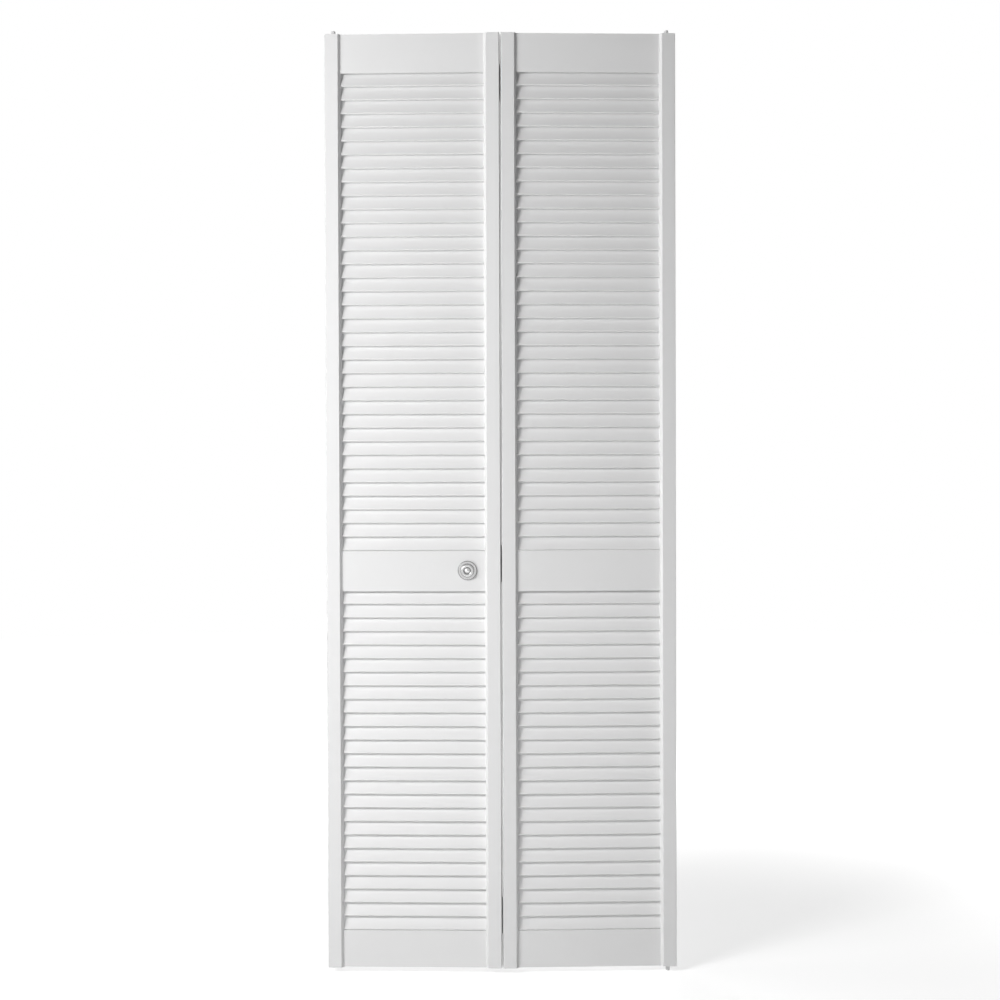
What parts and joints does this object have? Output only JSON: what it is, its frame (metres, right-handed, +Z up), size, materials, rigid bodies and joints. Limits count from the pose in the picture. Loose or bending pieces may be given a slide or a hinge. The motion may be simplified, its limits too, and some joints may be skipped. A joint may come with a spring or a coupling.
{
  "type": "bifold closet door",
  "caption": "Louvred bifold closet door, hinged at its middle and turning on pivot pins at the jamb, with a round knob and a sprung track guide.",
  "frame": {"origin": "on the pivot axis, at the shoulder of the bottom pivot pin that seats on the floor or jamb bracket", "axes": "+Z up along the pivot axis, -Y to the room, +X to the jamb that the door pivots on; the track runs along X above the origin"},
  "size_m": [0.7516, 0.0528, 2.0283],
  "materials": {
    "white_vinyl": "smooth white cellular vinyl, satin",
    "white_slat": "smooth white extruded vinyl, satin",
    "hinge_steel": "zinc plated",
    "pin_steel": "zinc plated",
    "screw_steel": "zinc plated",
    "knob_metal": "satin nickel",
    "nylon_white": "moulded nylon",
    "dowel_wood": "bare beech"
  },
  "bodies": {
    "bottom_pivot": {"bottom_pivot_pin": "nylon_white"},
    "pivot_panel": {"pivot_outer_stile": "white_vinyl", "pivot_hinge_stile": "white_vinyl", "pivot_top_rail": "white_vinyl", "pivot_mid_rail": "white_vinyl", "pivot_bottom_rail": "white_vinyl", "pivot_upper_slats": "white_slat", "pivot_lower_slats": "white_slat", "pivot_rail_dowels": "dowel_wood", "pivot_hinge_screws": "screw_steel", "top_hinge_pivot_leaf": "hinge_steel", "top_hinge_pin": "pin_steel", "mid_hinge_pivot_leaf": "hinge_steel", "mid_hinge_pin": "pin_steel", "bottom_hinge_pivot_leaf": "hinge_steel", "bottom_hinge_pin": "pin_steel", "top_pivot_sleeve": "nylon_white", "top_pivot_spring": "pin_steel", "bottom_pivot_bushing": "nylon_white"},
    "lead_panel": {"lead_outer_stile": "white_vinyl", "lead_hinge_stile": "white_vinyl", "lead_top_rail": "white_vinyl", "lead_mid_rail": "white_vinyl", "lead_bottom_rail": "white_vinyl", "lead_upper_slats": "white_slat", "lead_lower_slats": "white_slat", "lead_rail_dowels": "dowel_wood", "lead_hinge_screws": "screw_steel", "top_hinge_lead_leaf": "hinge_steel", "mid_hinge_lead_leaf": "hinge_steel", "bottom_hinge_lead_leaf": "hinge_steel", "knob_rose": "knob_metal", "knob": "knob_metal", "knob_screw": "screw_steel", "guide_sleeve": "nylon_white", "guide_spring": "pin_steel"},
    "top_pivot": {"top_pivot_pin": "nylon_white"},
    "guide": {"guide_pin": "nylon_white"}
  },
  "joints": [
    {"name": "panel_swing", "type": "hinge", "parent": "bottom_pivot", "child": "pivot_panel", "pos_m": [0, 0, 0], "axis": [0, 0, 1], "range_deg": [-2.3, 83.7]},
    {"name": "panel_fold", "type": "hinge", "parent": "pivot_panel", "child": "lead_panel", "pos_m": [-0.3577, 0.0066, 0.8733], "axis": [0, 0, 1], "range_deg": [-167.4, 4.6]},
    {"name": "top_pivot_press", "type": "slide", "parent": "pivot_panel", "child": "top_pivot", "axis": [0, 0, 1], "range_m": [-0.009, 0], "stiffness_N_per_m": 600, "springref_m": 0.008, "deforming": ["top_pivot_spring"]},
    {"name": "guide_press", "type": "slide", "parent": "lead_panel", "child": "guide", "axis": [0, 0, 1], "range_m": [-0.009, 0], "stiffness_N_per_m": 600, "springref_m": 0.008, "deforming": ["guide_spring"]}
  ],
  "couplings": [
    {"joint": "panel_fold", "follows": "panel_swing", "ratio": -2}
  ]
}
